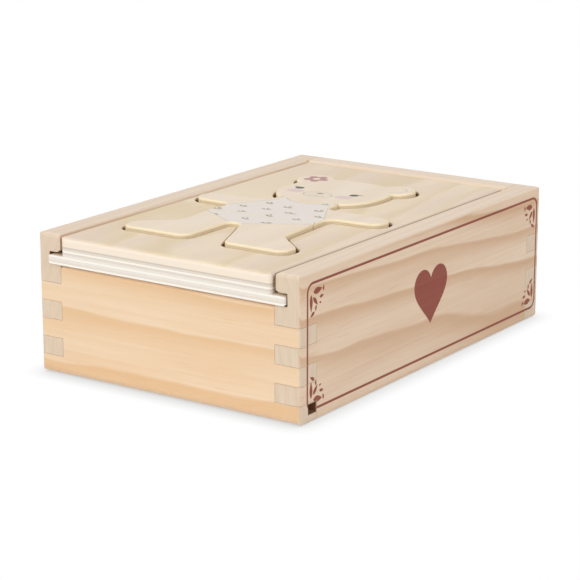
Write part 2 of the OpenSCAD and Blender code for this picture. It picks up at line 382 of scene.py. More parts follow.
@cache
def wood_figure() -> NodeTree:
    """Make the effect of growth rings, fibres, blotches and resin streaks in sawn wood.

    A ring ends where the distance from the pith, raised by the trunk's taper and by slow waves, passes
    a whole number of spacings. It darkens towards its end and fades over the break, a share of the next ring.

    Returns:
        The node group. Its point runs along the fibres, across the face and through the board.
    """
    takes = {"Point": Kind.VECTOR, "Pith": Kind.VECTOR}
    takes |= {label: Kind.VALUE for label in ("Spacing", "Taper", "Wave", "Break")}
    group = Effect("wood_figure", takes, ("Rings", *FACE_GRAIN))
    point, taken = group.taken["Point"], group.taken
    away = (point - taken["Pith"]) * (0.0, 1.0, 1.0)
    slow = group.noise(point, SLOW_WAVE, 1.0)
    quick = group.noise(point, QUICK_WAVE, 2.0)
    swing = quick * QUICK_SHARE + slow - (1.0 + QUICK_SHARE) / 2
    reach = group.parts(point)[0] * taken["Taper"] + group.work("LENGTH", away) + swing * taken["Wave"]
    turns = reach / taken["Spacing"]
    share = group.work("FRACT", turns)
    late = group.curve(share, RING_SHADES)
    darkness = group.work("MAXIMUM", late, group.rise(share, taken["Break"], 0.0))
    strength = group.random(group.work("ROUND", turns)) * RING_CONTRAST + (1.0 - RING_CONTRAST)
    layers = {name: grain.layer(group, point) for name, grain in FACE_GRAIN.items()}
    return group.give(Rings=darkness * strength, **layers)


@cache
def box_mask() -> NodeTree:
    """Make the effect of a box: 1 at points inside it."""
    group = Effect("box_mask", dict.fromkeys(("Point", "Low", "High"), Kind.VECTOR), ("Mask",))
    point, low, high = group.taken.values()
    x, y, z = group.parts(group.work("MINIMUM", point - low, high - point))
    nearest = group.work("MINIMUM", group.work("MINIMUM", x, y), z)
    return group.give(Mask=group.rise(nearest, 0.0, 0.1))


@cache
def oval_mask() -> NodeTree:
    """Make the effect of an oval, filled, as a thin line, or as the lower half of that line.

    The distance from the middle, over the half sizes, is 1 on the oval's line.

    Returns:
        The node group.
    """
    takes = dict.fromkeys(("Point", "Middle", "Radii"), Kind.VECTOR) | {"Soft": Kind.VALUE}
    group = Effect("oval_mask", takes, ("Filled", "Line", "Lower"))
    point, middle, radii, soft = group.taken.values()
    away = (point - middle) * (1.0, 1.0, 0.0)
    share = group.work("LENGTH", away / radii)
    off_line = abs(share - 1.0) * group.work("MINIMUM", *group.parts(radii)[:2])
    line = group.rise(off_line, *LINE_W)
    below = group.rise(group.parts(away)[1], LINE_END, -LINE_END)
    return group.give(Filled=group.rise(share, soft + 1.0, 1.0 - soft), Line=line, Lower=line * below)


@cache
def leaf_mask() -> NodeTree:
    """Make the effect of a leaf, whose half width is the width times sin(pi t^0.75), t from base to tip."""
    takes = {"Point": Kind.VECTOR, "Base": Kind.VECTOR}
    takes |= {label: Kind.VALUE for label in ("Angle", "Length", "Width")}
    group = Effect("leaf_mask", takes, ("Mask",))
    point, base, angle, length, width = group.taken.values()
    run, aside, _ = group.parts(group.turned(point - base, angle * -1.0))
    share = group.clamp(run / length)
    swell = group.work("SINE", group.work("POWER", share, LEAF_SWELL) * math.pi)
    return group.give(Mask=group.rise(swell * width - abs(aside), 0.0, LEAF_SOFT))


@cache
def print_cells() -> NodeTree:
    """Make the effect of a staggered repeat: the place in a cell, measured from the cell's middle."""
    takes = {"Point": Kind.VECTOR, "Pitch": Kind.VECTOR}
    group = Effect("print_cells", takes, ("Cell",), Kind.VECTOR)
    point, pitch = group.taken.values()
    column, row, _ = group.parts(point / pitch)
    stagger = group.work("FRACT", group.work("FLOOR", row) * 0.5)
    cell = [group.work("FRACT", turns) - 0.5 for turns in (column + stagger, row)]
    return group.give(Cell=group.join(*cell, 0.0) * pitch)


@cache
def ply_layers() -> NodeTree:
    """Make the effect of a plywood edge: thin bright sheets at a steady pitch, random shades between them."""
    takes = {"Point": Kind.VECTOR, "Start": Kind.VALUE, "Pitch": Kind.VALUE}
    group = Effect("ply_layers", takes, ("Bright", "Shade", "Fleck"))
    point, start, pitch = group.taken.values()
    unevenness = group.noise(point, SHEET_WAVE, 2.0) * SHEET_SWING
    turns = (group.parts(point)[2] - start + unevenness) / pitch
    off_middle = abs(group.work("FRACT", turns) - 0.5)
    return group.give(
        Bright=group.rise(off_middle, *SHEET_W),
        Shade=group.random(group.work("FLOOR", turns)),
        Fleck=group.noise(point, FLECK_WAVE, 4.0),
    )


class Stroke(Enum):
    """How an oval is printed."""

    FILLED = "Filled"
    LINE = "Line"
    LOWER = "Lower"


@dataclass(frozen=True)
class Oval:
    """Printed oval: its middle, half sizes and stroke, and how soft its edge is."""

    middle: Pair
    radii: Pair
    stroke: Stroke = Stroke.FILLED
    soft: float = 0.06

    def mask(self, graph: Graph, point: Feed) -> Signal:
        """Return the oval's mask at a point."""
        feeds = {
            "Point": point,
            "Middle": (*self.middle, 0.0),
            "Radii": (*self.radii, 1.0),
            "Soft": self.soft,
        }
        return graph.effect(oval_mask(), feeds)[self.stroke.value]


@dataclass(frozen=True)
class Leaf:
    """One printed leaf: base, angle in degrees, length and half width."""

    base: Pair
    angle: float
    length: float
    width: float

    def mask(self, graph: Graph, point: Feed) -> Signal:
        """Return the leaf's mask at a point."""
        feeds = {
            "Point": point,
            "Base": (*self.base, 0.0),
            "Angle": math.radians(self.angle),
            "Length": self.length,
            "Width": self.width,
        }
        return graph.effect(leaf_mask(), feeds)["Mask"]


@dataclass(frozen=True)
class Heart:
    """Printed heart: two round lobes over a body as wide as sin(pi/2 t^1.2), t running up from its tip."""

    tip_z: float = 19.5
    lobe_z: float = 37.9
    lobe_y: float = 6.7
    lobe_r: float = 7.2
    swell: float = 1.2
    soft: float = 0.15

    def mask(self, graph: Graph, y: Signal, z: Signal) -> Signal:
        """Return the heart's mask at a point of the side wall, y from the heart's own middle."""
        aside = abs(y)
        lobe = graph.work("DISTANCE", graph.join(aside, z, 0.0), (self.lobe_y, self.lobe_z, 0.0))
        rising = graph.work("POWER", graph.clamp((z - self.tip_z) / (self.lobe_z - self.tip_z)), self.swell)
        half = graph.work("SINE", rising * (math.pi / 2)) * (self.lobe_y + self.lobe_r)
        below = graph.work("MINIMUM", half - aside, self.lobe_z - z)
        return graph.rise(graph.work("MAXIMUM", below, self.lobe_r - lobe), 0.0, self.soft)


@dataclass(frozen=True)
class LineFrame:
    """Printed line around a side wall with a fan of leaves in each corner."""

    middle: Pair = (1.05, 31.8)
    half: Pair = (95.65, 26.35)
    corner_r: float = 4.0
    line_w: float = 1.1
    soft: float = 0.06
    fan: tuple[Leaf, ...] = (
        Leaf((4.2, 4.0), -6.0, 6.6, 1.4),
        Leaf((2.6, 4.7), 90.0, 7.6, 1.1),
        Leaf((4.0, 6.0), 48.0, 5.2, 0.95),
        Leaf((8.6, 6.8), -8.0, 3.2, 0.75),
        Leaf((11.2, 4.8), -78.0, 2.8, 0.65),
        Leaf((6.2, 9.5), 100.0, 2.8, 0.65),
        Leaf((8.4, 8.8), 20.0, 1.8, 0.5),
        Leaf((5.1, 12.1), 150.0, 3.8, 0.8),
    )

    def mask(self, graph: Graph, y: Signal, z: Signal) -> Signal:
        """Return the mask of line and leaves at a point of the side wall."""
        folded = abs(graph.join(y, z, 0.0) - (*self.middle, 0.0))
        straight = (self.half[0] - self.corner_r, self.half[1] - self.corner_r, 0.0)
        past = graph.work("MAXIMUM", folded - straight, (0.0, 0.0, 0.0))
        off_line = abs(graph.work("LENGTH", past) - self.corner_r)
        mask = graph.rise(off_line, self.line_w / 2 + self.soft, self.line_w / 2 - self.soft)
        corner = (*self.half, 0.0) - folded
        for leaf in self.fan:
            mask = graph.work("MAXIMUM", mask, leaf.mask(graph, corner))
        return mask


@cache
def side_print() -> NodeTree:
    """Make the effect of the print on the long walls: a heart in a line frame, on faces that look along X."""
    group = Effect("side_print", {"Point": Kind.VECTOR, "Facing": Kind.VALUE}, ("Heart", "Lines"))
    x, y, z = group.parts(group.taken["Point"])
    line_frame = LineFrame()
    outer_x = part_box("right_side_panel")[1].x / MM
    outside = group.rise(abs(x), outer_x - 0.5, outer_x - 0.3)
    face = outside * group.rise(group.taken["Facing"], 0.95, 0.99)
    heart = Heart().mask(group, y - line_frame.middle[0], z)
    return group.give(Heart=heart * face, Lines=line_frame.mask(group, y, z) * face)


@dataclass(frozen=True)
class Board:
    """How a board was sawn out of its trunk.

    Attributes:
        along: Axis that the fibres follow.
        across: Axis across the fibres in the board's face.
        pith: Where the middle of the trunk lies, across and through the board.
        spacing: Width of a growth ring.
        taper: How fast the rings rise along the fibres.
        wave: Height of the slow waves in the rings.
        fade: Share of a ring over which the one before it fades.
    """

    along: Axis
    across: Axis
    pith: Pair
    spacing: float
    taper: float
    wave: float
    fade: float

    def figure(self, surface: Surface) -> dict[str, Signal]:
        """Place the wood's figure in a material and return its outputs."""
        feeds = {
            "Point": surface.board_point(self.along, self.across),
            "Pith": (0.0, *self.pith),
            "Spacing": self.spacing,
            "Taper": self.taper,
            "Wave": self.wave,
            "Break": self.fade,
        }
        return surface.effect(wood_figure(), feeds)


@dataclass(frozen=True)
class ShadeBox:
    """Box of painted shade, given for one quarter of the part and mirrored in X and Y."""

    low: Triple
    high: Triple
    share: float = 0.9

    def mask(self, surface: Surface) -> Signal:
        """Return the share of the painted shade inside the box and its mirror images."""
        x, y, z = surface.parts(surface.point)
        feeds = {"Point": surface.join(abs(x), abs(y), z), "Low": self.low, "High": self.high}
        return surface.effect(box_mask(), feeds)["Mask"] * self.share


@dataclass(frozen=True)
class PineFinish:
    """Sanded pine under a clear matt coat, with printed ink on the long walls and painted shade in the
    grooves and beside the lid.

    Attributes:
        shares: How strongly each layer of the grain darkens the wood.
        top_tilt: How far up a face looks where the top tint starts and is full.
        top_share: How far it takes that tint.
        end_tilt: How far along the fibres a face looks where end grain starts and is full.
        end_shares: How strongly lines and rings darken the end grain.
        ink_cover: How much of the ink covers the wood.
        ink_wear: How much of the ink the fibres wear off.
        ring_relief: Height of the rings beside that of the fibres.
    """

    name: str
    board: Board
    early: Colour
    late: Colour
    grooves: tuple[ShadeBox, ...]
    end_pale: Colour = srgb(225, 205, 181)
    end_dark: Colour = srgb(206, 181, 154)
    # Painted shade: dark brown for the grooves, the foot's holes and the line beside the lid's gap.
    painted_shade: Colour = srgb(128, 76, 40)
    ink: Colour = srgb(136, 53, 38)
    line_ink: Colour = srgb(136, 57, 36)
    top_tint: Colour = srgb(237, 220, 201)
    shares: tuple[tuple[str, float], ...] = (
        ("Fibre", 0.14),
        ("Blotch", 0.16),
        ("Mottle", 0.22),
        ("Streak", 0.3),
    )
    top_tilt: Pair = (0.45, 0.9)
    top_share: float = 0.7
    end_tilt: Pair = (0.6, 0.85)
    end_shares: Pair = (0.36, 0.2)
    ink_cover: float = 0.98
    ink_wear: float = 0.05
    ring_relief: float = 0.4
    coat: Coat = Coat(0.5, 0.12, 0.03)

    def material(self) -> Material:
        """Make the material: rings on the faces, fine upright lines on the end grain, ink over both."""
        surface = Surface(self.name)
        figure = self.board.figure(surface)
        face = surface.mix(figure["Rings"], self.early, self.late)
        for layer, share in self.shares:
            face = surface.mix(figure[layer] * share, face, self.late)
        upward = surface.rise(surface.facing(Axis.Z), *self.top_tilt)
        face = surface.mix(upward * self.top_share, face, self.top_tint)
        end_on = surface.rise(surface.facing(self.board.along), *self.end_tilt)
        wood = surface.mix(end_on, face, self.end_grain(surface, figure["Rings"]))
        # Painted shade: each groove box is painted dark brown where shade falls in the grooves, the foot's
        # holes and the lid's gap.
        for groove in self.grooves:
            wood = surface.mix(groove.mask(surface), wood, self.painted_shade)
        printed = surface.effect(side_print(), {"Point": surface.point, "Facing": surface.facing(Axis.X)})
        cover = figure["Fibre"] * -self.ink_wear + self.ink_cover
        colour = surface.mix(printed["Heart"] * cover, wood, self.ink)
        colour = surface.mix(printed["Lines"] * cover, colour, self.line_ink)
        relief = figure["Rings"] * self.ring_relief + figure["Fibre"]
        return surface.dress(colour, figure["Fibre"], relief, self.coat)

    def end_grain(self, surface: Surface, rings: Signal) -> Signal:
        """Return the colour of sawn fibre ends."""
        point = surface.board_point(self.board.along, self.board.across)
        colour = self.end_pale
        for mark, share in zip((END_GRAIN.layer(surface, point), rings), self.end_shares):
            colour = surface.mix(mark * share, colour, self.end_dark)
        return colour


@dataclass(frozen=True)
class PlyFinish:
    """Sanded plywood: a veneer's figure on the faces, glued layers on the edges, painted shade in sawn
    hollows and gaps.

    Attributes:
        layer_start: Height where the layers start.
        layer_pitch: How far the bright sheets lie apart.
        veneer_z: Height where a thick top veneer starts.
        glue_t: Thickness of the glue line under that veneer.
        soft: Half the width over which glue and veneer start.
        ring_share: How strongly the rings show.
        fibre_share: How strongly the fibres show.
        fleck_span: Levels of the noise between which a fleck starts.
        flat_tilt: How far up or down a surface looks where the face starts and is full.
        sheet_relief: Height of the bright sheets beside that of the flecks.
    """

    name: str
    board: Board
    layer_start: float
    layer_pitch: float = 2.9
    cut_out: tuple[ShadeBox, ...] = ()
    pale: Colour = srgb(240, 223, 198)
    streak: Colour = srgb(226, 204, 166)
    rosy: Colour = srgb(232, 213, 195)
    bright: Colour = srgb(250, 244, 233)
    layer_pale: Colour = srgb(238, 231, 220)
    layer_dark: Colour = srgb(224, 213, 198)
    # Painted shade: dark brown for the boxes of cut_out, where shade falls in the recess and the lid's gaps.
    painted_shade: Colour = srgb(138, 88, 50)
    veneer: Colour = srgb(243, 229, 209)
    glue: Colour = srgb(210, 197, 182)
    veneer_z: float = math.inf
    glue_t: float = 0.65
    soft: float = 0.1
    ring_share: float = 0.75
    fibre_share: float = 0.16
    fleck_span: Pair = (0.5, 0.8)
    flat_tilt: Pair = (0.5, 0.8)
    sheet_relief: float = 0.5
    coat: Coat = Coat(0.52, 0.1, 0.03)

    def material(self) -> Material:
        """Make the material: thin layers on the edges, and above veneer_z a thick veneer over a glue line."""
        surface = Surface(self.name)
        figure = self.board.figure(surface)
        face = surface.mix(figure["Blotch"], self.pale, self.rosy)
        face = surface.mix(figure["Rings"] * self.ring_share, face, self.streak)
        face = surface.mix(figure["Fibre"] * self.fibre_share, face, self.streak)
        feeds = {"Point": surface.point, "Start": self.layer_start, "Pitch": self.layer_pitch}
        layers = surface.effect(ply_layers(), feeds)
        edge = surface.mix(layers["Shade"], self.layer_pale, self.layer_dark)
        edge = surface.mix(surface.rise(layers["Fleck"], *self.fleck_span), edge, self.layer_dark)
        edge = surface.mix(layers["Bright"], edge, self.bright)
        if math.isfinite(self.veneer_z):
            height = surface.parts(surface.point)[2]
            for start, colour in ((self.veneer_z - self.glue_t, self.glue), (self.veneer_z, self.veneer)):
                edge = surface.mix(surface.rise(height, start - self.soft, start + self.soft), edge, colour)
        # Painted shade: the boxes of cut_out are painted dark brown where shade falls.
        for hollow in self.cut_out:
            edge = surface.mix(hollow.mask(surface), edge, self.painted_shade)
        flat = surface.rise(surface.facing(Axis.Z), *self.flat_tilt)
        edge_relief = layers["Bright"] * self.sheet_relief + layers["Fleck"]
        relief = (1.0 - flat) * edge_relief + figure["Fibre"]
        return surface.dress(surface.mix(flat, edge, face), figure["Fibre"], relief, self.coat)


class Pattern(Enum):
    """What is printed on the clothes of a figure."""

    SPRIGS = "sprigs"
    STRIPES = "stripes"
    DOTS = "dots"
    CHECKS = "checks"


class Eyes(Enum):
    """How a figure's eyes are printed."""

    OPEN = "open"
    SHUT = "shut"


class PieceKind(Enum):
    """Which part of the figure a puzzle piece is."""

    HEAD = "head"
    TORSO = "torso"
    LEGS = "legs"


@dataclass(frozen=True)
class Outfit:
    """Printed eyes and clothes of one set of pieces.

    Attributes:
        pattern: What is printed on the cloth.
        pitch: How far the pattern's repeats lie apart, across and along the body.
        cloth: The cloth's own colour.
        motif: Colour of the pattern.
        accent: Colour of the flower on the ear.
        eyes: How the eyes are printed.
        bud: Colour of a sprig's bud.
        sway: How far sprigs are strewn from their rows.
        sway_waves: Waves per millimetre of that strewing, across and along the body.
        stripe_span: Levels of a wave between which a stripe starts.
        check_span: The same for a band of the checks.
        check_share: How strongly one band of the checks shows.
    """

    pattern: Pattern
    pitch: Pair
    cloth: Colour
    motif: Colour
    accent: Colour
    eyes: Eyes = Eyes.OPEN
    bud: Colour = srgb(172, 160, 118)
    sway: float = 5.0
    sway_waves: tuple[Triple, Triple] = ((0.06, 0.045, 0.0), (0.045, 0.06, 0.0))
    leaves: tuple[Leaf, ...] = (Leaf((0.0, -1.0), 24.0, 3.2, 0.8), Leaf((0.0, -1.0), 156.0, 3.2, 0.8))
    bud_mark: Oval = Oval((0.0, 1.2), (0.8, 0.8), soft=0.12)
    dot: Oval = Oval((0.0, 0.0), (1.3, 1.3), soft=0.1)
    stripe_span: Pair = (-0.05, 0.15)
    check_span: Pair = (-0.1, 0.1)
    check_share: float = 0.5

    def colour(self, surface: Surface, place: Signal) -> Feed:
        """Return the colour of the printed cloth with its pattern."""
        draw = {
            Pattern.SPRIGS: self.sprigs,
            Pattern.STRIPES: self.stripes,
            Pattern.DOTS: self.dots,
            Pattern.CHECKS: self.checks,
        }[self.pattern]
        return draw(surface, place)

    def cell(self, surface: Surface, place: Signal) -> Signal:
        """Return the place in a cell of the pattern."""
        return surface.effect(print_cells(), {"Point": place, "Pitch": (*self.pitch, 1.0)})["Cell"]

    def sprigs(self, surface: Surface, place: Signal) -> Feed:
        """Return cloth strewn with pairs of leaves under a bud."""
        sway = (
            surface.noise(place, stretch, 0.0) * (2 * self.sway) - self.sway
            for stretch in self.sway_waves
        )
        cell = self.cell(surface, place + surface.join(*sway, 0.0))
        colour = self.cloth
        for leaf in self.leaves:
            colour = surface.mix(leaf.mask(surface, cell), colour, self.motif)
        return surface.mix(self.bud_mark.mask(surface, cell), colour, self.bud)

    def stripes(self, surface: Surface, place: Signal) -> Feed:
        """Return cloth with stripes across the body."""
        wave = surface.wave(surface.parts(place)[1], self.pitch[1])
        return surface.mix(surface.rise(wave, *self.stripe_span), self.cloth, self.motif)

    def dots(self, surface: Surface, place: Signal) -> Feed:
        """Return cloth with dots."""
        return surface.mix(self.dot.mask(surface, self.cell(surface, place)), self.cloth, self.motif)

    def checks(self, surface: Surface, place: Signal) -> Feed:
        """Return cloth with bands along and across that darken where they cross."""
        colour = self.cloth
        for part, pitch in zip(surface.parts(place), self.pitch):
            band = surface.rise(surface.wave(part, pitch), *self.check_span)
            colour = surface.mix(band * self.check_share, colour, self.motif)
        return colour


@dataclass(frozen=True)
class FigureOutline:
    """Outlines of the bear's head, torso and legs, with the lid's middle at the origin."""

    head_x: float
    head_y: float
    hand_x: float
    waist_y: float
    sole_y: float
    feet_w: float
    kerf: float
    torso_x: float = -1.4
    crotch_x: float = -4.5
    feet_x: float = 2.0
    head_w: float = 51.0
    head_h: float = 47.5
    head_square: float = 2.6
    ear_r: float = 9.0
    ear_reach: float = 28.0
    ear_angle: float = 39.0
    ear_blend: float = 4.0
    neck_spread: float = 36.0
    chest_w: float = 52.0
    waist_w: float = 54.0
    waist_l: float = 13.0
    arm_w: float = 15.0
    arm_taper: float = 1.0
    ankle_w: float = 54.0
    ankle_l: float = 23.0
    toe_l: float = 9.5
    feet_gap: float = 20.0
    crotch_w: float = 6.5
    crotch_l: float = 31.0
    limb_r: float = 8.0
    joint_r: float = 5.0
    chin_band: float = 2.0
    head_steps: int = 360
    chin_steps: int = 70
    arc_steps: int = 14

    @classmethod
    def in_lid(cls) -> "FigureOutline":
        """Take what the CAD pieces in the lid show of the figure's size and place."""
        head_low, head_high = node_box("lid_head")
        torso_low, torso_high = node_box("lid_torso")
        legs_low, legs_high = node_box("lid_legs")
        return cls(
            head_x=(head_low[0] + head_high[0]) / 2,
            head_y=head_low[1] + cls.head_h / 2,
            hand_x=torso_high[0],
            waist_y=torso_low[1],
            sole_y=legs_low[1],
            feet_w=legs_high[0] - legs_low[0],
            kerf=torso_low[1] - legs_high[1],
        )

    def ear_middle(self, side: int) -> Pair:
        """Return the middle of the right ear for a side of 1, of the left one for -1."""
        turn = math.radians(self.ear_angle)
        across, up = self.ear_reach * math.cos(turn), self.ear_reach * math.sin(turn)
        return self.head_x + side * across, self.head_y + up

    def head_radius(self, degrees: Points) -> Points:
        """Distance from the head's middle to its outline, the soft maximum of a superellipse and the ears."""
        turn = np.radians(degrees)
        across = np.abs(np.cos(turn)) / (self.head_w / 2)
        up = np.abs(np.sin(turn)) / (self.head_h / 2)
        round_head = (across**self.head_square + up**self.head_square) ** (-1 / self.head_square)
        right = self.ear_radius(degrees - self.ear_angle)
        left = self.ear_radius(degrees - 180 + self.ear_angle)
        ears = np.maximum(right, left)
        return (round_head + ears + np.hypot(round_head - ears, self.ear_blend)) / 2

    def ear_radius(self, degrees: Points) -> Points:
        """Far side of an ear's circle, seen from the middle of the head at angles from the ear's own."""
        aside = self.ear_reach * np.sin(np.radians(degrees))
        ahead = self.ear_reach * np.cos(np.radians(degrees))
        far = ahead + np.sqrt(np.maximum(self.ear_r**2 - aside**2, 0.0))
        return np.where((ahead > 0) & (np.abs(aside) < self.ear_r), far, 0.0)

    def head_points(self, degrees: Points, gap: float = 0.0) -> Points:
        """Points of the head's outline, grown by a gap."""
        reach = self.head_radius(degrees) + gap
        turn = np.radians(degrees)
        return np.stack([self.head_x + reach * np.cos(turn), self.head_y + reach * np.sin(turn)], axis=1)

    def chin(self) -> Points:
        """Points of the torso's neck, which follows the head's chin a saw cut away."""
        degrees = np.linspace(270 + self.neck_spread, 270 - self.neck_spread, self.chin_steps)
        return self.head_points(degrees, self.kerf)

    def rounded(self, corners: Points) -> Points:
        """Round the corners of an outline.

        Each corner is an arc whose tangent points lie at r / tan(half the corner's angle), or halfway
        along the shorter side.

        Args:
            corners: Rows of x, y and radius, anticlockwise.

        Returns:
            The outline's points.
        """
        here, radius = corners[:, :2], corners[:, 2]
        before, after = np.roll(here, 1, axis=0) - here, np.roll(here, -1, axis=0) - here
        length_before, length_after = np.linalg.norm(before, axis=1), np.linalg.norm(after, axis=1)
        u, v = before / length_before[:, None], after / length_after[:, None]
        half = np.arccos(np.clip((u * v).sum(1), -1.0, 1.0)) / 2
        run = np.minimum(radius / np.tan(half), np.minimum(length_before, length_after) / 2)
        fit = run * np.tan(half)
        middle = (u + v) / np.linalg.norm(u + v, axis=1)[:, None]
        centre = here + middle * (fit / np.sin(half))[:, None]
        sweep = (math.pi - 2 * half) * np.sign(v[:, 0] * u[:, 1] - v[:, 1] * u[:, 0])
        turn = sweep[:, None] * np.linspace(0.0, 1.0, self.arc_steps + 1)
        start = (here + u * run[:, None] - centre)[:, None, :]
        cosine, sine = np.cos(turn)[..., None], np.sin(turn)[..., None]
        across = np.stack([-start[..., 1], start[..., 0]], axis=-1)
        arcs = (centre[:, None, :] + start * cosine + across * sine).reshape(-1, 2)
        step = np.linalg.norm(arcs - np.roll(arcs, 1, axis=0), axis=1)
        return arcs[step > 1e-3]

    def head(self) -> Points:
        """Outline of the head."""
        return self.head_points(np.arange(self.head_steps) * 360.0 / self.head_steps)

    def torso(self) -> Points:
        """Outline of the torso with its arms."""
        chin = self.chin()
        armpit_y = self.waist_y + self.waist_l
        arm_top_y = armpit_y + self.arm_w
        right, left = (
            [
                (self.torso_x + side * self.waist_w / 2, self.waist_y, 0.0),
                (self.torso_x + side * self.chest_w / 2, armpit_y, self.joint_r),
                (side * self.hand_x, armpit_y + self.arm_taper, self.limb_r),
                (side * self.hand_x, arm_top_y - self.arm_taper, self.limb_r),
                (neck[0], arm_top_y, self.joint_r),
            ]
            for side, neck in ((1, chin[0]), (-1, chin[-1]))
        )
        neckline = np.column_stack([chin, np.zeros(len(chin))])
        return self.rounded(np.concatenate([right, neckline, left[::-1]]))

    def legs(self) -> Points:
        """Outline of the legs."""
        right, left = (
            [
                (self.crotch_x + side * self.crotch_w / 2, self.sole_y + self.crotch_l, self.joint_r),
                (self.feet_x + side * self.feet_gap / 2, self.sole_y, self.joint_r),
                (side * self.feet_w / 2, self.sole_y, self.joint_r),
                (side * self.feet_w / 2, self.sole_y + self.toe_l, self.joint_r),
                (side * self.ankle_w / 2, self.sole_y + self.ankle_l, self.limb_r),
                (self.torso_x + side * self.waist_w / 2, self.waist_y - self.kerf, 0.0),
            ]
            for side in (1, -1)
        )
        return self.rounded(np.concatenate([right, left[::-1]]))

    def of(self, kind: PieceKind) -> Points:
        """Outline of a piece."""
        return {PieceKind.HEAD: self.head, PieceKind.TORSO: self.torso, PieceKind.LEGS: self.legs}[kind]()

    def on_cut(self, outline: Points) -> NDArray[np.bool_]:
        """Say which points of a piece's outline lie on a saw cut between two pieces."""
        chin = self.chin()
        by_chin = np.abs(outline[:, 1] - chin[:, 1].mean()) < 2 * self.kerf + self.chin_band
        at_neck = by_chin & (np.abs(outline[:, 0] - self.head_x) < chin[0, 0] - self.head_x)
        at_waist = np.abs(outline[:, 1] - self.waist_y + self.kerf / 2) < self.kerf
        return at_neck | at_waist


@dataclass(frozen=True)
class FigureFinish:
    """Pale wood with rounded bright edges and a print on its flat top.

    The marks of the face are measured from the point halfway between the eyes, and mirrored about it.

    Attributes:
        outfit: The print's colours and pattern.
        outline: The figure that the print fits.
        face_middle: The point halfway between the eyes.
        neckline: Middle of the oval that the top leaves bare under the chin.
        neck_r: Half sizes of that oval.
        strap: Where the armhole starts beside the neck.
        armpit: Where the armhole ends.
        crotch_y: Lowest point of the cloth, between the legs.
        leg_slope: How steeply the leg openings rise to the hips.
        side_fade: How far below the top the sides start and end to darken.
        glue_depth: How far below the top the dark line in the sides lies.
        glue_w: How far from its middle that line is gone, and how far it is full.
        petal: Least radius of the flower on the ear, and how far its petals reach past that.
        hem_w: Half the width of the line along the cloth's edge.
        ink_soft: Half the width over which the cloth starts.
        top_shares: How strongly rings and fibres show on the top.
        ink_wear: How much of the print the fibres wear off.
        glue_share: How dark the line in the sides is.
        side_share: How strongly fibres show on the sides.
        rim_tilt: How far up the surface looks where the bright rim starts and is full.
        top_tilt: The same for the print.
    """

    outfit: Outfit
    outline: FigureOutline
    board: Board = Board(Axis.Y, Axis.X, (-34.0, -90.0), 6.0, taper=0.03, wave=9.0, fade=0.5)
    face_middle: Pair = (-5.3, 29.0)
    cheek: Oval = Oval((13.2, -6.0), (4.4, 2.9), soft=0.4)
    muzzle: Oval = Oval((0.0, -7.6), (7.2, 4.8), Stroke.LINE)
    nose: Oval = Oval((0.0, -5.2), (1.7, 1.0), soft=0.12)
    lip: Leaf = Leaf((0.0, -5.6), -90.0, 3.4, 0.3)
    mouth: Oval = Oval((2.0, -8.6), (2.0, 1.7), Stroke.LOWER)
    eye: Oval = Oval((14.9, 0.0), (2.2, 2.1), soft=0.08)
    lash: Leaf = Leaf((15.4, 0.9), 14.0, 4.2, 0.55)
    shut_eye: Oval = Oval((14.9, 1.2), (2.8, 2.4), Stroke.LOWER)
    ear: Oval = Oval((0.0, 0.0), (5.4, 5.4), Stroke.LOWER)
    petal: Pair = (3.9, 2.4)
    petals: int = 5
    petal_soft: float = 0.25
    flower_eye: Oval = Oval((0.0, 0.0), (1.8, 1.8), soft=0.1)
    neckline: Pair = (-2.0, 12.0)
    neck_r: Pair = (12.0, 9.0)
    strap: Pair = (14.0, 3.0)
    armpit: Pair = (27.0, -20.0)
    crotch_y: float = -46.0
    leg_slope: float = 0.59
    side_fade: Pair = (1.5, 2.2)
    glue_depth: float = 1.3
    glue_w: Pair = (0.25, 0.1)
    hem_w: float = 0.3
    ink_soft: float = 0.1
    top_pale: Colour = srgb(243, 227, 207)
    top_streak: Colour = srgb(228, 207, 180)
    side: Colour = srgb(248, 231, 196)
    side_low: Colour = srgb(240, 219, 180)
    glue: Colour = srgb(206, 176, 132)
    rim: Colour = srgb(246, 230, 198)
    dark_ink: Colour = srgb(74, 68, 68)
    nose_ink: Colour = srgb(150, 138, 126)
    line_ink: Colour = srgb(203, 191, 179)
    blush: Colour = srgb(226, 202, 200)
    top_shares: Pair = (0.4, 0.12)
    ink_wear: float = 0.1
    glue_share: float = 0.6
    side_share: float = 0.2
    rim_tilt: Pair = (0.05, 0.6)
    top_tilt: Pair = (0.985, 0.998)
    coat: Coat = Coat(0.5, 0.1, 0.02)

    def material(self, name: str, kind: PieceKind, shift_y: float, top_z: float) -> Material:
        """Make the material of one piece.

        Args:
            name: Name of the material.
            kind: Which piece it is for.
            shift_y: How far the piece lies from its place in the lid's figure.
            top_z: Height of the piece's top.

        Returns:
            The material.
        """
        surface = Surface(name)
        figure = self.board.figure(surface)
        fibre = figure["Fibre"]
        top = self.top_pale
        for mark, share in zip((figure["Rings"], fibre), self.top_shares):
            top = surface.mix(mark * share, top, self.top_streak)
        draw = {PieceKind.HEAD: self.face, PieceKind.TORSO: self.shirt, PieceKind.LEGS: self.shorts}[kind]
        printed = draw(surface, surface.point - (0.0, shift_y, 0.0), top)
        printed = surface.mix(fibre * self.ink_wear, printed, top)
        upward = surface.parts(surface.normal)[2]
        depth = float(top_z) - surface.parts(surface.point)[2]
        side = surface.mix(surface.rise(depth, *self.side_fade), self.side, self.side_low)
        glue_line = surface.rise(abs(depth - self.glue_depth), *self.glue_w)
        side = surface.mix(glue_line * self.glue_share, side, self.glue)
        side = surface.mix(fibre * self.side_share, side, self.top_streak)
        side = surface.mix(surface.rise(upward, *self.rim_tilt), side, self.rim)
        colour = surface.mix(surface.rise(upward, *self.top_tilt), side, printed)
        return surface.dress(colour, fibre, fibre, self.coat)

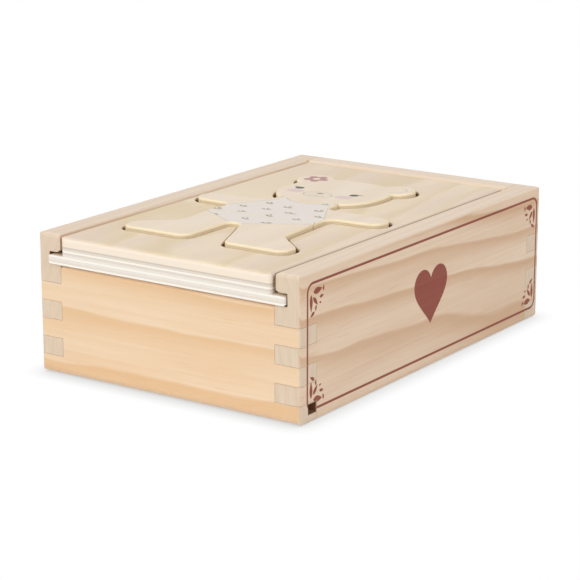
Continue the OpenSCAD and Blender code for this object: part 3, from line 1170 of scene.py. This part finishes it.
    def face(self, surface: Surface, place: Signal, colour: Feed) -> Signal:
        """Print the face, a line in the right ear and a flower on the left one.

        Args:
            surface: The material's nodes.
            place: The point in the lid's figure.
            colour: The bare wood.

        Returns:
            The printed colour.
        """
        marks = [
            (self.cheek, self.blush),
            (self.muzzle, self.line_ink),
            (self.nose, self.nose_ink),
            (self.lip, self.line_ink),
            (self.mouth, self.line_ink),
        ]
        if self.outfit.eyes is Eyes.OPEN:
            marks += [(self.eye, self.dark_ink), (self.lash, self.dark_ink)]
        else:
            marks += [(self.shut_eye, self.dark_ink)]
        x, y, _ = surface.parts(place - (*self.face_middle, 0.0))
        folded = surface.join(abs(x), y, 0.0)
        for mark, ink in marks:
            colour = surface.mix(mark.mask(surface, folded), colour, ink)
        right, left = (place - (*self.outline.ear_middle(side), 0.0) for side in (1, -1))
        in_ear = self.ear.mask(surface, surface.turned(right, -math.pi / 2))
        return self.flower(surface, left, surface.mix(in_ear, colour, self.line_ink))

    def flower(self, surface: Surface, away: Signal, colour: Feed) -> Signal:
        """Print a flower of n petals: its radius grows with |cos(n a / 2)| at an angle a."""
        x, y, _ = surface.parts(away)
        swing = abs(surface.work("COSINE", surface.work("ARCTAN2", y, x) * (self.petals / 2)))
        inside = swing * self.petal[1] + self.petal[0] - surface.work("LENGTH", surface.join(x, y, 0.0))
        colour = surface.mix(surface.rise(inside, 0.0, self.petal_soft), colour, self.outfit.accent)
        return surface.mix(self.flower_eye.mask(surface, away), colour, self.rim)

    def cut(self, surface: Surface, place: Signal, colour: Feed, inside: Signal) -> Signal:
        """Print cloth where a distance is above 0, with a thin line along its edge.

        Args:
            surface: The material's nodes.
            place: The point in the lid's figure.
            colour: The bare wood.
            inside: Distance from the cloth's edge.

        Returns:
            The printed colour.
        """
        covered = surface.rise(inside, -self.ink_soft, self.ink_soft)
        colour = surface.mix(covered, colour, self.outfit.colour(surface, place))
        return surface.mix(surface.rise(abs(inside), self.hem_w, self.ink_soft), colour, self.line_ink)

    def shirt(self, surface: Surface, place: Signal, colour: Feed) -> Signal:
        """Print a sleeveless top between the armholes and under a round neckline.

        Args:
            surface: The material's nodes.
            place: The point in the lid's figure.
            colour: The bare wood.

        Returns:
            The printed colour.
        """
        x, y, _ = surface.parts(place)
        (strap_x, strap_y), (armpit_x, armpit_y) = self.strap, self.armpit
        drop = surface.clamp((strap_y - y) / (strap_y - armpit_y))
        in_armholes = drop * (armpit_x - strap_x) + strap_x - abs(x - self.outline.torso_x)
        from_neck = (place - (*self.neckline, 0.0)) * (1.0, 1.0, 0.0)
        past_neck = (surface.work("LENGTH", from_neck / (*self.neck_r, 1.0)) - 1.0) * self.neck_r[1]
        return self.cut(surface, place, colour, surface.work("MINIMUM", in_armholes, past_neck))

    def shorts(self, surface: Surface, place: Signal, colour: Feed) -> Signal:
        """Print the cloth over the hips, which ends at the leg openings.

        Args:
            surface: The material's nodes.
            place: The point in the lid's figure.
            colour: The bare wood.

        Returns:
            The printed colour.
        """
        x, y, _ = surface.parts(place)
        above = y - self.crotch_y - abs(x - self.outline.crotch_x) * self.leg_slope
        return self.cut(surface, place, colour, above / math.hypot(1.0, self.leg_slope))


@dataclass
class FigureSet:
    """Head, torso and legs of one figure, in the lid or in the stacks under it.

    Attributes:
        prefix: Start of the CAD nodes' names.
        suffix: End of the CAD nodes' names.
        outfit: What is printed on the pieces.
        outline: The figure.
        round_r: Radius of the top edges.
        cut_r: Radius of the top edges along a saw cut.
        foot_r: Radius of the bottom edges.
        rim: Width of the flat ring inside the round.
        round_steps: Steps in a round.
        crease: Least angle in degrees at which an edge is shaded sharp.
        slot: The pieces' material slot; not used.
    """

    prefix: str
    suffix: str
    outfit: Outfit
    outline: FigureOutline = field(default_factory=FigureOutline.in_lid)
    round_r: float = 1.0
    cut_r: float = 0.06
    foot_r: float = 0.4
    rim: float = 0.2
    round_steps: int = 8
    crease: float = 40.0
    slot: str = "figure_wood"

    def build(self) -> None:
        """Make the three pieces, each in the place of its CAD node."""
        for kind in PieceKind:
            self.piece(kind)

    def piece(self, kind: PieceKind) -> None:
        """Make one piece, which rides on its node's body and stands for the node."""
        node = f"{self.prefix}_{kind.value}{self.suffix}"
        low, high = node_box(node)
        outline = self.outline.of(kind)
        shift_y = (low[1] + high[1] - outline[:, 1].min() - outline[:, 1].max()) / 2
        name = f"{node}_printed"
        radii = np.where(self.outline.on_cut(outline), self.cut_r, self.round_r)
        mesh = self.slab(name, outline + (0.0, shift_y), radii, low[2], high[2])
        finish = FigureFinish(self.outfit, self.outline)
        mesh.materials.append(finish.material(name, kind, shift_y, high[2]))
        piece = bpy.data.objects.new(name, mesh)
        bpy.context.scene.collection.objects.link(piece)
        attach(piece, node)
        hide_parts(node)
        misfit = np.abs(np.ptp(outline, axis=0) - (high - low)[:2]).max()
        LOG.info("%s stands for %s, %.2f mm off its outline", name, node, misfit)

    def slab(self, name: str, outline: Points, radii: Points, low: float, high: float) -> Mesh:
        """Loft a slab through rings of its outline.

        A ring at the angle t of a round edge of radius r is drawn in by r (1 - cos t) and lies r (1 - sin t)
        from the slab's face. The last ring lies in the flat top, which keeps the round's shading off it.

        Args:
            name: Name of the mesh.
            outline: Points of the outline, anticlockwise.
            radii: Radius of the top edge at each point.
            low: Height of the flat bottom.
            high: Height of the flat top.

        Returns:
            The mesh, in metres.
        """
        turn = np.linspace(0.0, math.pi / 2, self.round_steps + 1)[:, None]
        foot_turn = np.broadcast_to(turn[::-2], (len(turn[::-2]), len(outline)))
        insets = np.concatenate([
            self.foot_r * (1 - np.cos(foot_turn)),
            radii * (1 - np.cos(turn)),
            radii[None] + self.rim,
        ])
        heights = np.concatenate([
            low + self.foot_r * (1 - np.sin(foot_turn)),
            high - radii * (1 - np.sin(turn)),
            np.full((1, len(outline)), high),
        ])
        before = outline - np.roll(outline, 1, axis=0)
        after = np.roll(outline, -1, axis=0) - outline
        before /= np.linalg.norm(before, axis=1)[:, None]
        after /= np.linalg.norm(after, axis=1)[:, None]
        outward = np.stack([before[:, 1] + after[:, 1], -before[:, 0] - after[:, 0]], axis=1)
        outward /= (1 + (before * after).sum(1))[:, None]
        rings = outline[None] - insets[..., None] * outward[None]
        vertices = np.concatenate([rings, heights[..., None]], axis=2).reshape(-1, 3) * MM
        count = len(outline)
        corner = np.arange(count)
        beside = np.roll(corner, -1)
        lower = (np.arange(len(insets) - 1) * count)[:, None]
        upper = lower + count
        sides = [lower + corner, lower + beside, upper + beside, upper + corner]
        quads = np.stack(sides, axis=2).reshape(-1, 4)
        top = corner + (len(insets) - 1) * count
        mesh = bpy.data.meshes.new(name)
        mesh.from_pydata(vertices.tolist(), [], quads.tolist() + [corner[::-1].tolist(), top.tolist()])
        mesh.polygons.foreach_set("use_smooth", np.ones(len(mesh.polygons), dtype=bool))
        mesh.set_sharp_from_angle(angle=math.radians(self.crease))
        mesh.validate()
        return mesh


def repaint(node: str, finish: Union[PineFinish, PlyFinish]) -> None:
    """Give a CAD node its finish."""
    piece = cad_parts[node]
    material = finish.material()
    if not piece.material_slots:
        piece.data.materials.append(material)
    for slot in piece.material_slots:
        slot.material = material
    LOG.info("%s is finished in %s", node, material.name)


@dataclass
class PineBox:
    """Four finger-jointed walls around a plywood base.

    Attributes:
        inset: How far inside a wall's face its painted shade starts.
        base_room: How far the painted shade reaches below and above the base.
        tongue_room: How far it reaches below and above the lid's tongues.
        edge_room: How far it reaches past the edges of the base and the tongues.
        hole_room: How far it reaches in front of and behind the inner face by the foot's holes.
        skin: Wood left pale around those holes.
        line_w: How far the painted shade line beside the lid reaches out of the right wall and into it.
        line_depth: How far below the walls' tops that line ends.
    """

    front_wood: tuple[Colour, Colour] = (srgb(241, 216, 185), srgb(226, 184, 136))
    side_wood: tuple[Colour, Colour] = (srgb(235, 212, 186), srgb(207, 168, 133))
    back_wood: tuple[Colour, Colour] = (srgb(238, 219, 195), srgb(228, 198, 164))
    inset: float = 0.05
    base_room: Pair = (0.2, 0.5)
    tongue_room: Pair = (0.35, 0.9)
    edge_room: float = 0.6
    hole_room: Pair = (0.7, 0.3)
    skin: float = 0.4
    line_w: Pair = (0.2, 0.5)
    line_depth: float = 0.8

    def painted_shade(self) -> dict[str, tuple[ShadeBox, ...]]:
        """Return the boxes of painted shade in each wall: in the grooves and the foot's holes, and on the
        right wall beside the lid's gap.
        """
        base_low, base_high = node_box("base_panel")
        tongue_low, tongue_high = node_box("lid_tongue_board")
        side_low, (outer_x, _, wall_top) = node_box("right_side_panel")
        x = side_low[0] + self.inset
        y = node_box("back_panel")[0][1] + self.inset
        far = 2 * base_high[1]
        under, over = base_low[2] - self.base_room[0], base_high[2] + self.base_room[1]
        base_x, base_y, _ = base_high + self.edge_room
        tongue_under, tongue_over = tongue_low[2] - self.tongue_room[0], tongue_high[2] + self.tongue_room[1]
        hole = y - self.hole_room[0], y + self.hole_room[1]
        # Painted shade: the grooves and the foot's holes are painted dark brown where shade falls.
        side = (
            ShadeBox((x, -1.0, under), (base_x, far, over)),
            ShadeBox((x, -1.0, tongue_under), (tongue_high[0] + self.edge_room, far, tongue_over)),
            ShadeBox((x, hole[0], under), (outer_x - self.skin, hole[1], over)),
        )
        # Painted shade: a dark line on the right wall's inner face beside the lid's gap.
        line_low = (x - self.line_w[0], -1.0, tongue_high[2])
        line = ShadeBox(line_low, (x + self.line_w[1], far, wall_top - self.line_depth))
        return {
            "left": side,
            "right": (*side, line),
            "front": (ShadeBox((-1.0, y, under), (far, base_y, over)),),
            "back": (ShadeBox((-1.0, y, under), (base_x, base_y, over)),),
        }

    def dress(self) -> None:
        """Finish the walls and the base."""
        painted_shade = self.painted_shade()
        front = Board(Axis.X, Axis.Z, (-23.0, 96.0), 5.085, taper=0.001, wave=3.0, fade=0.06)
        back = Board(Axis.X, Axis.Z, (-30.0, -96.0), 4.4, taper=-0.006, wave=4.0, fade=0.1)
        right = Board(Axis.Y, Axis.Z, (-20.0, -135.2), 4.385, taper=0.021, wave=3.5, fade=0.1)
        left = Board(Axis.Y, Axis.Z, (-24.0, 140.0), 4.8, taper=-0.018, wave=4.0, fade=0.2)
        for wall, node, board, wood in (
            ("front", "front_panel", front, self.front_wood),
            ("back", "back_panel", back, self.back_wood),
            ("right", "right_side_panel", right, self.side_wood),
            ("left", "left_side_panel", left, self.side_wood),
        ):
            repaint(node, PineFinish(f"{wall}_pine", board, *wood, painted_shade[wall]))
        # Painted shade: the base's plywood layers are dark browns, as its edges show only in the shade of the
        # grooves and the foot's holes.
        base = PlyFinish(
            "base_plywood",
            Board(Axis.X, Axis.Y, (-60.0, -120.0), 6.0, taper=0.02, wave=10.0, fade=0.4),
            layer_start=4.0,
            layer_pitch=1.3,
            bright=srgb(168, 128, 92),
            layer_pale=srgb(146, 108, 76),
            layer_dark=srgb(108, 76, 50),
        )
        repaint("base_panel", base)


@dataclass
class SlidingLid:
    """Two glued plywood sheets: the upper one holds the figure's recess, the lower one has the tongues.

    Attributes:
        layer_offset: Where the layers start, from the lid's underside.
        veneer_offset: Where the thick top veneer starts, from the lid's underside.
        rim: Wood left pale around the recess.
        recess_depth: How far below the lid's top the painted shade in the recess starts.
        edge_w: How far the painted shade on the long edges reaches into the lid and out of it.
        edge_depth: How far below the lid's top that painted shade starts.
        edge_share: How strong that painted shade is.
        front_clear: Wood left pale at the front end of the long edges.
    """

    layer_offset: float = -0.8
    veneer_offset: float = 8.3
    rim: float = 1.0
    recess_depth: float = 0.8
    edge_w: Pair = (0.5, 1.0)
    edge_depth: float = 0.35
    edge_share: float = 0.55
    front_clear: float = 3.0

    def painted_shade(self) -> tuple[ShadeBox, ...]:
        """Return boxes of painted shade in the figure's recess and along the lid's long edges."""
        low, (x, y, top) = node_box("lid_top_board")
        # Painted shade: the recess's walls below its rim, and the lower part of the lid's long edges, are
        # painted dark brown.
        recess = ShadeBox((-1.0, -1.0, low[2]), (x - self.rim, y - self.rim, top - self.recess_depth))
        edge_high = (x + self.edge_w[1], -low[1] - self.front_clear, top - self.edge_depth)
        return recess, ShadeBox((x - self.edge_w[0], -1.0, low[2]), edge_high, self.edge_share)

    def dress(self) -> None:
        """Finish both sheets with the same layers on their edges."""
        top = Board(Axis.Y, Axis.X, (-70.0, -60.0), 15.0, taper=0.08, wave=26.0, fade=0.14)
        tongue = Board(Axis.Y, Axis.X, (60.0, -80.0), 9.0, taper=0.04, wave=14.0, fade=0.5)
        underside = node_box("lid_tongue_board")[0][2]
        start, veneer_z = underside + self.layer_offset, underside + self.veneer_offset
        # The top sheet takes the painted shade of its recess and long edges.
        finish = PlyFinish("lid_top_plywood", top, start, cut_out=self.painted_shade(), veneer_z=veneer_z)
        repaint("lid_top_board", finish)
        repaint("lid_tongue_board", PlyFinish("lid_tongue_plywood", tongue, start))


@dataclass(frozen=True)
class Lamp:
    """A square soft lamp."""

    name: str
    place: Triple
    size: float
    watts: float


@dataclass
class Studio:
    """White floor, soft lamps and the camera."""

    camera_at: Triple = (521.3, -768.9, 276.9)
    camera_pitch: float = 15.198
    camera_yaw: float = 34.43
    lens: float = 132.34
    sensor_w: float = 36.0
    floor_half: float = 9000.0
    floor_colour: Colour = srgb(246, 247, 249)
    shadow: Colour = srgb(204, 202, 200)
    shadow_reach: float = 10.0
    ambient: float = 0.38
    lamps: tuple[Lamp, ...] = (
        Lamp("key", (-1400.0, -3000.0, 2000.0), 2000.0, 70.0),
        Lamp("fill", (3000.0, -600.0, 1800.0), 2400.0, 44.0),
        Lamp("overhead", (0.0, 600.0, 3600.0), 2800.0, 20.0),
    )

    def build(self) -> None:
        """Make everything that the object is seen with."""
        self.camera()
        self.floor()
        self.world()
        for lamp in self.lamps:
            self.light(lamp)

    def camera(self) -> None:
        """Make the camera at the photograph's viewing angle."""
        data = bpy.data.cameras.new("camera")
        data.lens = self.lens
        data.sensor_width = self.sensor_w
        camera = bpy.data.objects.new("camera", data)
        camera.location = np.array(self.camera_at) * MM
        camera.rotation_euler = (math.radians(90.0 - self.camera_pitch), 0.0, math.radians(self.camera_yaw))
        bpy.context.scene.collection.objects.link(camera)
        bpy.context.scene.camera = camera

    @staticmethod
    def show(graph: Graph, output: str, lit: Signal, seen: Signal) -> None:
        """Use one shader for rays that light the object, and another for the camera, gloss and glass.

        Args:
            graph: The nodes of the floor or of the world.
            output: Blender's name of the output node's type.
            lit: The shader for light.
            seen: The shader to the eye.
        """
        path = graph.add("ShaderNodeLightPath", {}).outputs
        camera, gloss, glass = (
            Signal(graph, path[f"Is {ray} Ray"]) for ray in ("Camera", "Glossy", "Transmission")
        )
        direct = graph.work("MAXIMUM", camera, graph.work("MAXIMUM", gloss, glass))
        graph.add(output, {"Surface": graph.take("ShaderNodeMixShader", {0: direct, 1: lit, 2: seen})})

    def floor(self) -> None:
        """Make the floor: diffuse for light, and white to the eye with a soft shadow close to the object."""
        corners = np.array([(-1, -1, 0), (1, -1, 0), (1, 1, 0), (-1, 1, 0)]) * self.floor_half * MM
        mesh = bpy.data.meshes.new("floor")
        mesh.from_pydata(corners.tolist(), [], [(0, 1, 2, 3)])
        material = bpy.data.materials.new("floor")
        material.use_nodes = True
        material.node_tree.nodes.clear()
        graph = Graph(material.node_tree)
        plain = graph.take("ShaderNodeBsdfDiffuse", {"Color": self.floor_colour})
        open_sky = graph.take("ShaderNodeAmbientOcclusion", {"Distance": self.shadow_reach * MM}, "AO")
        shaded = graph.mix(open_sky, self.shadow, WHITE)
        seen = graph.take("ShaderNodeEmission", {"Color": shaded, "Strength": 1.0})
        self.show(graph, "ShaderNodeOutputMaterial", plain, seen)
        mesh.materials.append(material)
        floor = bpy.data.objects.new("floor", mesh)
        bpy.context.scene.collection.objects.link(floor)

    def world(self) -> None:
        """Make the surroundings: white to the eye, and a soft light for the object."""
        world = bpy.data.worlds.new("surroundings")
        world.use_nodes = True
        world.node_tree.nodes.clear()
        graph = Graph(world.node_tree)
        light, seen = (
            graph.take("ShaderNodeBackground", {"Color": WHITE, "Strength": strength})
            for strength in (self.ambient, 1.0)
        )
        self.show(graph, "ShaderNodeOutputWorld", light, seen)
        bpy.context.scene.world = world

    def light(self, lamp: Lamp) -> None:
        """Make a lamp that looks at the object's middle."""
        data = bpy.data.lights.new(lamp.name, "AREA")
        data.size = lamp.size * MM
        data.energy = lamp.watts
        light = bpy.data.objects.new(lamp.name, data)
        low, high = CAD_BOX
        light.location = np.array(lamp.place) * MM
        light.rotation_euler = ((low + high) / 2 - light.location).to_track_quat("-Z", "Y").to_euler()
        bpy.context.scene.collection.objects.link(light)


OUTFITS = (
    Outfit(Pattern.SPRIGS, (14.0, 10.5), srgb(236, 227, 219), srgb(150, 146, 128), srgb(182, 134, 134)),
    Outfit(
        Pattern.STRIPES, (5.5, 5.5), srgb(236, 230, 220), srgb(140, 156, 172), srgb(190, 150, 110),
        eyes=Eyes.SHUT,
    ),
    Outfit(Pattern.CHECKS, (7.0, 7.0), srgb(236, 232, 218), srgb(150, 164, 136), srgb(196, 160, 104)),
    Outfit(
        Pattern.DOTS, (8.0, 6.5), srgb(226, 206, 164), srgb(246, 238, 222), srgb(168, 104, 90),
        eyes=Eyes.SHUT,
    ),
)


def main() -> None:
    """Build the studio and dress the part."""
    logging.basicConfig(level=logging.INFO, format="%(name)s: %(message)s")
    bpy.context.scene.view_settings.view_transform = "Standard"
    Studio().build()
    PineBox().dress()
    SlidingLid().dress()
    FigureSet("lid", "", OUTFITS[0]).build()
    for layer, outfit in enumerate(OUTFITS[1:], start=1):
        FigureSet("stored", f"_{layer}", outfit).build()


if __name__ == "__main__":
    main()
